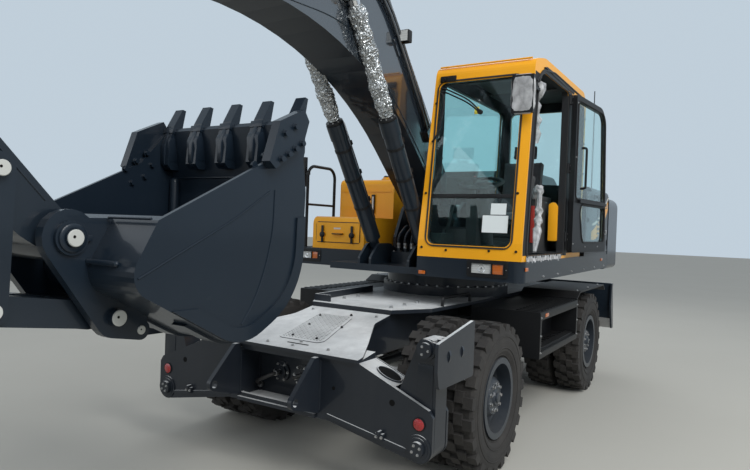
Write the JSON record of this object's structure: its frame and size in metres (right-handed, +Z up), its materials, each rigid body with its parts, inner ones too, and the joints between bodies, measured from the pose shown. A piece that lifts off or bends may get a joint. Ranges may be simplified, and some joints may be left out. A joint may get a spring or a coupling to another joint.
{
  "type": "wheeled excavator",
  "caption": "Wheeled excavator with cab, folded-in boom, arm and toothed bucket, twin tyres, folding outriggers in front and a dozer blade behind.",
  "frame": {"origin": "on the ground, under the middle of the bounding box in length and width", "axes": "+X the way the cab and the outriggers face, +Y the machine's left, +Z up"},
  "size_m": [9.168, 2.8106, 3.905],
  "materials": {
    "slate_paint": "semi-gloss slate blue-grey paint",
    "slate_tank": "semi-gloss slate paint, lighter panels",
    "chassis_paint": "satin near-black paint with dust",
    "orange_paint": "glossy orange-yellow paint",
    "black_frame": "satin black paint",
    "rod_chrome": "polished chrome",
    "tyre_rubber": "dusty black rubber",
    "tinted_glass": "blue-green tinted glass",
    "seat_cloth": "dark woven cloth",
    "dark_plastic": "matt dark grey plastic",
    "lamp_lens": "clear ribbed lens"
  },
  "bodies": {
    "undercarriage": {"chassis_frame": "chassis_paint", "outrigger_beam": "chassis_paint", "step_boxes": "chassis_paint", "axles": "chassis_paint"},
    "knuckle_left": {"knuckle_l": "chassis_paint"},
    "knuckle_right": {"knuckle_r": "chassis_paint"},
    "wheel_fl": {"tyre_fl": "tyre_rubber", "rim_fl": "slate_paint"},
    "wheel_fr": {"tyre_fr": "tyre_rubber", "rim_fr": "slate_paint"},
    "wheel_rl": {"tyre_rl": "tyre_rubber", "rim_rl": "slate_paint"},
    "wheel_rr": {"tyre_rr": "tyre_rubber", "rim_rr": "slate_paint"},
    "outrigger_left": {"leg_l": "slate_paint"},
    "outrigger_right": {"leg_r": "slate_paint"},
    "pad_left": {"pad_l": "slate_paint"},
    "pad_right": {"pad_r": "slate_paint"},
    "dozer_blade": {"blade": "slate_paint"},
    "blade_cylinders": {"blade_barrels": "chassis_paint"},
    "blade_pistons": {"blade_rods": "rod_chrome"},
    "upper": {"revolving_frame": "slate_paint", "counterweight": "slate_paint", "side_panels": "slate_tank", "right_tank": "orange_paint", "cab_shell": "orange_paint", "cab_glass": "tinted_glass", "seat": "seat_cloth", "controls": "dark_plastic", "fittings": "black_frame", "lamps": "lamp_lens"},
    "hood": {"engine_hood": "slate_tank"},
    "door": {"door_frame": "black_frame", "door_glass": "tinted_glass"},
    "boom": {"boom": "slate_paint"},
    "boom_cylinders": {"boom_barrels": "slate_paint"},
    "boom_pistons": {"boom_rods": "rod_chrome"},
    "arm": {"arm": "slate_paint"},
    "arm_cylinder": {"arm_barrel": "slate_paint"},
    "arm_piston": {"arm_rod": "rod_chrome"},
    "bucket_cylinder": {"bucket_barrel": "slate_paint"},
    "bucket_piston": {"bucket_rod": "rod_chrome"},
    "guide_links": {"guide_links": "slate_paint"},
    "bucket_link": {"bucket_link": "slate_paint"},
    "bucket": {"bucket": "slate_paint"}
  },
  "joints": [
    {"name": "swing", "type": "hinge", "parent": "undercarriage", "child": "upper", "pos_m": [-1.83412, 0, 1.15], "axis": [0, 0, 1], "continuous": true},
    {"name": "steer_left", "type": "hinge", "parent": "undercarriage", "child": "knuckle_left", "pos_m": [-0.13412, 0.72, 0.525], "axis": [0, 0, 1], "range_deg": [-25, 25]},
    {"name": "steer_right", "type": "hinge", "parent": "undercarriage", "child": "knuckle_right", "pos_m": [-0.13412, -0.72, 0.525], "axis": [0, 0, 1], "range_deg": [-25, 25]},
    {"name": "roll_fl", "type": "hinge", "parent": "knuckle_left", "child": "wheel_fl", "pos_m": [-0.13412, 0.9, 0.525], "axis": [0, 1, 0], "continuous": true},
    {"name": "roll_fr", "type": "hinge", "parent": "knuckle_right", "child": "wheel_fr", "pos_m": [-0.13412, -0.9, 0.525], "axis": [0, 1, 0], "continuous": true},
    {"name": "roll_rl", "type": "hinge", "parent": "undercarriage", "child": "wheel_rl", "pos_m": [-2.93412, 0.9, 0.525], "axis": [0, 1, 0], "continuous": true},
    {"name": "roll_rr", "type": "hinge", "parent": "undercarriage", "child": "wheel_rr", "pos_m": [-2.93412, -0.9, 0.525], "axis": [0, 1, 0], "continuous": true},
    {"name": "outrigger_fold_left", "type": "hinge", "parent": "undercarriage", "child": "outrigger_left", "pos_m": [0.69188, 1.085, 0.41], "axis": [-1, 0, 0], "range_deg": [0, 122]},
    {"name": "pad_level_left", "type": "hinge", "parent": "outrigger_left", "child": "pad_left", "pos_m": [0.69188, 1.113, 0.991], "axis": [-1, 0, 0], "range_deg": [-34, 0]},
    {"name": "outrigger_fold_right", "type": "hinge", "parent": "undercarriage", "child": "outrigger_right", "pos_m": [0.69188, -1.085, 0.41], "axis": [1, 0, 0], "range_deg": [0, 122]},
    {"name": "pad_level_right", "type": "hinge", "parent": "outrigger_right", "child": "pad_right", "pos_m": [0.69188, -1.113, 0.991], "axis": [1, 0, 0], "range_deg": [-34, 0]},
    {"name": "blade_lift", "type": "hinge", "parent": "undercarriage", "child": "dozer_blade", "pos_m": [-3.28412, 0, 0.59], "axis": [0, -1, 0], "range_deg": [0, 35]},
    {"name": "blade_cylinder_turn", "type": "hinge", "parent": "undercarriage", "child": "blade_cylinders", "pos_m": [-3.47412, 0, 0.93], "axis": [0, -1, 0], "range_deg": [0, 36]},
    {"name": "blade_cylinder_stroke", "type": "slide", "parent": "blade_cylinders", "child": "blade_pistons", "axis": [-0.9722, 0, -0.2341], "range_m": [0, 0.24]},
    {"name": "hood_lift", "type": "hinge", "parent": "upper", "child": "hood", "pos_m": [-2.78612, 0, 2.158], "axis": [0, 1, 0], "range_deg": [0, 60]},
    {"name": "door_shut", "type": "hinge", "parent": "upper", "child": "door", "pos_m": [-1.73412, 1.236, 2.2], "axis": [0, 0, -1], "range_deg": [0, 175]},
    {"name": "boom_lower", "type": "hinge", "parent": "upper", "child": "boom", "pos_m": [-1.63412, 0, 1.79], "axis": [0, 1, 0], "range_deg": [-34, 15]},
    {"name": "boom_cylinder_turn", "type": "hinge", "parent": "upper", "child": "boom_cylinders", "pos_m": [-0.87412, 0, 1.45], "axis": [0, 1, 0], "range_deg": [-37, 17]},
    {"name": "boom_cylinder_stroke", "type": "slide", "parent": "boom_cylinders", "child": "boom_pistons", "axis": [0.5726, 0, 0.8198], "range_m": [-0.21, 0.46]},
    {"name": "arm_out", "type": "hinge", "parent": "boom", "child": "arm", "pos_m": [3.90588, 0, 2.967], "axis": [0, -1, 0], "range_deg": [0, 108]},
    {"name": "arm_cylinder_turn", "type": "hinge", "parent": "boom", "child": "arm_cylinder", "pos_m": [0.91588, 0, 3.83], "axis": [0, -1, 0], "range_deg": [0, 1]},
    {"name": "arm_cylinder_stroke", "type": "slide", "parent": "arm_cylinder", "child": "arm_piston", "axis": [0.9949, 0, -0.1005], "range_m": [-1.27, 0]},
    {"name": "bucket_dump", "type": "hinge", "parent": "arm", "child": "bucket", "pos_m": [2.43988, 0, 1.603], "axis": [0, -1, 0], "range_deg": [0, 135]},
    {"name": "guide_turn", "type": "hinge", "parent": "arm", "child": "guide_links", "pos_m": [2.72088, 0, 1.872], "axis": [0, -1, 0], "range_deg": [0, 104]},
    {"name": "link_turn", "type": "hinge", "parent": "bucket", "child": "bucket_link", "pos_m": [2.21288, 0, 1.24], "axis": [0, -1, 0], "range_deg": [-100, 0]},
    {"name": "bucket_cylinder_turn", "type": "hinge", "parent": "arm", "child": "bucket_cylinder", "pos_m": [4.30179, 0, 2.76169], "axis": [0, -1, 0], "range_deg": [-2, 0]},
    {"name": "bucket_cylinder_stroke", "type": "slide", "parent": "bucket_cylinder", "child": "bucket_piston", "axis": [-0.7338, 0, -0.6793], "range_m": [-0.88, 0]}
  ],
  "couplings": [
    {"joint": "steer_right", "follows": "steer_left", "ratio": 1},
    {"joint": "pad_level_left", "follows": "outrigger_fold_left", "ratio": -0.2623},
    {"joint": "pad_level_right", "follows": "outrigger_fold_right", "ratio": -0.2623},
    {"joint": "blade_cylinder_turn", "follows": "blade_lift", "ratio": 1.0106},
    {"joint": "blade_cylinder_stroke", "follows": "blade_lift", "m_per_rad": 0.3836},
    {"joint": "boom_cylinder_turn", "follows": "boom_lower", "ratio": 1.07},
    {"joint": "boom_cylinder_stroke", "follows": "boom_lower", "m_per_rad": -0.7672},
    {"joint": "arm_cylinder_turn", "follows": "arm_out", "ratio": 0.0015},
    {"joint": "arm_cylinder_stroke", "follows": "arm_out", "m_per_rad": -0.6712},
    {"joint": "guide_turn", "follows": "bucket_dump", "ratio": 0.7693},
    {"joint": "link_turn", "follows": "bucket_dump", "ratio": -0.735},
    {"joint": "bucket_cylinder_turn", "follows": "bucket_dump", "ratio": -0.0132},
    {"joint": "bucket_cylinder_stroke", "follows": "bucket_dump", "m_per_rad": -0.3697}
  ]
}
